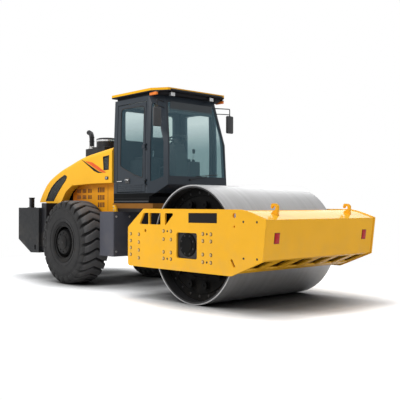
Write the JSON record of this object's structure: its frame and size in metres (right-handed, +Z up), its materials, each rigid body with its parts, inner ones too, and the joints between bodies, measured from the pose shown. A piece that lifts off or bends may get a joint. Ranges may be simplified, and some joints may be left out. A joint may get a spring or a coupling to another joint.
{
  "type": "single-drum soil roller",
  "caption": "Articulated road roller with a smooth steel drum in a front frame, a glazed cab, a tilting engine hood, large lugged drive tyres and a counterweight.",
  "frame": {"origin": "on the ground, midway along the overall length and on the machine's middle plane", "axes": "+X forward towards the drum, +Y to the machine's left, +Z up"},
  "size_m": [6.6086, 2.374, 3.25],
  "materials": {
    "yellow_paint": "gloss",
    "dark_paint": "satin",
    "cab_paint": "satin",
    "black_paint": "satin",
    "drum_steel": "ground",
    "chrome": "polished",
    "tyre_rubber": "matte",
    "glass": "clear, slightly tinted",
    "seat_fabric": "woven",
    "cab_plastic": "moulded"
  },
  "bodies": {
    "rear_frame": {"cab_platform": "yellow_paint", "cab_roof": "yellow_paint", "side_panel_right": "yellow_paint", "side_panel_left": "yellow_paint", "rear_chassis": "dark_paint", "hinge_yoke": "dark_paint", "tank_housing": "dark_paint", "rear_axle": "dark_paint", "counterweight": "dark_paint", "engine": "dark_paint", "cab_floor": "cab_paint", "cab_rear_wall": "cab_paint", "cab_front_frame": "cab_paint", "cab_side_frame_right": "cab_paint", "cab_side_frame_left": "cab_paint", "radiator_housing": "black_paint", "mirror_right": "black_paint", "mirror_left": "black_paint", "windscreen": "glass", "rear_window": "glass", "quarter_window_right": "glass", "quarter_window_left": "glass", "seat_cushion": "seat_fabric", "seat_backrest": "seat_fabric", "seat_base": "cab_plastic", "steering_console": "cab_plastic", "steering_wheel": "cab_plastic", "armrest_console_right": "cab_plastic", "armrest_console_left": "cab_plastic"},
    "drum": {"drum_shell": "drum_steel", "drum_head_right": "black_paint", "drum_head_left": "black_paint"},
    "front_frame": {"side_plate_right": "yellow_paint", "side_plate_left": "yellow_paint", "front_beam": "yellow_paint", "rear_crossbeam": "dark_paint", "drum_scraper_rear": "dark_paint", "drum_scraper_front": "dark_paint", "drum_carrier_right": "black_paint", "drum_carrier_left": "black_paint", "lifting_hook_right": "yellow_paint", "lifting_hook_left": "yellow_paint"},
    "hinge_block": {"articulation_block": "dark_paint"},
    "engine_hood": {"hood": "yellow_paint", "exhaust_stack": "black_paint", "air_cleaner": "black_paint"},
    "right_wheel": {"tyre_right": "tyre_rubber", "wheel_rim_right": "black_paint"},
    "right_door": {"door_right": "cab_paint", "door_glass_right": "glass"},
    "right_barrel": {"steering_barrel_right": "black_paint"},
    "right_rod": {"steering_rod_right": "chrome"},
    "left_wheel": {"tyre_left": "tyre_rubber", "wheel_rim_left": "black_paint"},
    "left_door": {"door_left": "cab_paint", "door_glass_left": "glass"},
    "left_barrel": {"steering_barrel_left": "black_paint"},
    "left_rod": {"steering_rod_left": "chrome"}
  },
  "joints": [
    {"name": "steer", "type": "hinge", "parent": "rear_frame", "child": "hinge_block", "pos_m": [0.17, 0, 0.8], "axis": [0, 0, 1], "range_deg": [-35, 35]},
    {"name": "oscillate", "type": "hinge", "parent": "hinge_block", "child": "front_frame", "pos_m": [0.17, 0, 0.8], "axis": [1, 0, 0], "range_deg": [-12, 12]},
    {"name": "drum_roll", "type": "hinge", "parent": "front_frame", "child": "drum", "pos_m": [1.82, 0, 0.84], "axis": [0, 1, 0], "continuous": true},
    {"name": "wheel_roll_right", "type": "hinge", "parent": "rear_frame", "child": "right_wheel", "pos_m": [-1.515, -0.917, 0.735], "axis": [0, 1, 0], "continuous": true},
    {"name": "wheel_roll_left", "type": "hinge", "parent": "rear_frame", "child": "left_wheel", "pos_m": [-1.515, 0.917, 0.735], "axis": [0, 1, 0], "continuous": true},
    {"name": "door_swing_right", "type": "hinge", "parent": "rear_frame", "child": "right_door", "pos_m": [0.315, -0.77, 2.3], "axis": [0, 0, 1], "range_deg": [0, 85]},
    {"name": "door_swing_left", "type": "hinge", "parent": "rear_frame", "child": "left_door", "pos_m": [0.315, 0.77, 2.3], "axis": [0, 0, -1], "range_deg": [0, 85]},
    {"name": "hood_tilt", "type": "hinge", "parent": "rear_frame", "child": "engine_hood", "pos_m": [-3.01, 0, 1.415], "axis": [0, -1, 0], "range_deg": [0, 45]},
    {"name": "cylinder_swing_right", "type": "hinge", "parent": "rear_frame", "child": "right_barrel", "pos_m": [-0.2, -0.4, 0.8], "axis": [0, 0, 1], "range_deg": [-2, 2]},
    {"name": "cylinder_rod_right", "type": "slide", "parent": "right_barrel", "child": "right_rod", "axis": [0.9117, 0.4108, 0], "range_m": [-0.14, 0.14]},
    {"name": "cylinder_swing_left", "type": "hinge", "parent": "rear_frame", "child": "left_barrel", "pos_m": [-0.2, 0.4, 0.8], "axis": [0, 0, 1], "range_deg": [-2, 2]},
    {"name": "cylinder_rod_left", "type": "slide", "parent": "left_barrel", "child": "left_rod", "axis": [0.9117, -0.4108, 0], "range_m": [-0.14, 0.14]}
  ],
  "couplings": [
    {"joint": "cylinder_swing_right", "follows": "steer", "ratio": -0.005},
    {"joint": "cylinder_rod_right", "follows": "steer", "m_per_rad": 0.1989},
    {"joint": "cylinder_swing_left", "follows": "steer", "ratio": -0.005},
    {"joint": "cylinder_rod_left", "follows": "steer", "m_per_rad": -0.1989}
  ]
}
